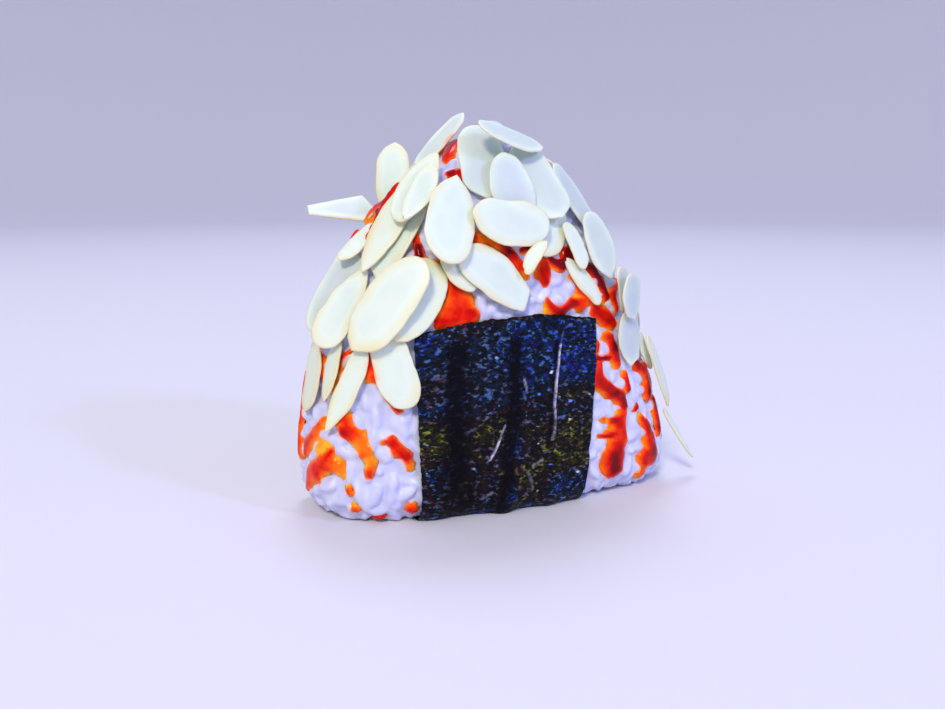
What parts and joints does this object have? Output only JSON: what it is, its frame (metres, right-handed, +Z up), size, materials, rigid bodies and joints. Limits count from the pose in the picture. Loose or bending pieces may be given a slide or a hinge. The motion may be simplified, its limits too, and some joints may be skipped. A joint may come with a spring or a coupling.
{
  "type": "onigiri rice ball",
  "caption": "Triangular rice ball standing on its base, with a wrapped strip of nori, sliced almonds stuck over its upper part and chilli sauce running down.",
  "frame": {"origin": "on the resting plane, under the middle of the ball, on the underside of the nori", "axes": "+Z up, -Y out of the broad front face, +X to the right of that face"},
  "size_m": [0.1017, 0.0504, 0.0918],
  "materials": {
    "rice": "moist cooked short grain rice, soft sheen, slightly translucent",
    "nori": "dry pressed seaweed sheet, dark green-brown, patchy sheen",
    "almond": "sliced blanched almond, ivory, soft and slightly translucent",
    "sauce": "sticky chilli sauce, deep red where thick and orange where thin, wet gloss"
  },
  "bodies": {
    "root": {"rice": "rice", "nori": "nori", "almond_back_01": "almond", "almond_back_02": "almond", "almond_back_03": "almond", "almond_back_04": "almond", "almond_back_05": "almond", "almond_back_06": "almond", "almond_back_07": "almond", "almond_back_08": "almond", "almond_back_09": "almond", "almond_back_10": "almond", "almond_back_11": "almond", "almond_back_12": "almond", "almond_back_13": "almond", "almond_back_14": "almond", "almond_back_15": "almond", "almond_back_16": "almond", "almond_back_17": "almond", "almond_back_18": "almond", "almond_left_shoulder": "almond", "almond_over_nori": "almond", "almond_diagonal": "almond", "almond_low_left_inner": "almond", "almond_low_left_outer": "almond", "almond_left_hollow": "almond", "almond_slope_inner": "almond", "almond_fan_under": "almond", "almond_fan_over": "almond", "almond_wedge": "almond", "almond_left_tuck": "almond", "almond_left_slope": "almond", "almond_ear_left": "almond", "almond_spire": "almond", "almond_ridge": "almond", "almond_upper_slope": "almond", "almond_upper_inner": "almond", "almond_centre_left": "almond", "almond_centre_right": "almond", "almond_centre_tall": "almond", "almond_right_edge": "almond", "almond_right_face_low": "almond", "almond_right_face_high": "almond", "almond_crown_front": "almond", "almond_crown_right": "almond", "almond_centre_flat": "almond", "almond_prop": "almond", "almond_right_low_lean": "almond", "almond_right_inner": "almond", "almond_right_middle": "almond", "almond_right_shoulder": "almond", "almond_cap_under": "almond", "almond_crown_top": "almond", "almond_cap": "almond", "almond_right_low_wide": "almond", "almond_ear_right": "almond", "almond_right_tuck": "almond", "almond_needle_high": "almond", "almond_needle_low": "almond"}
  },
  "joints": []
}
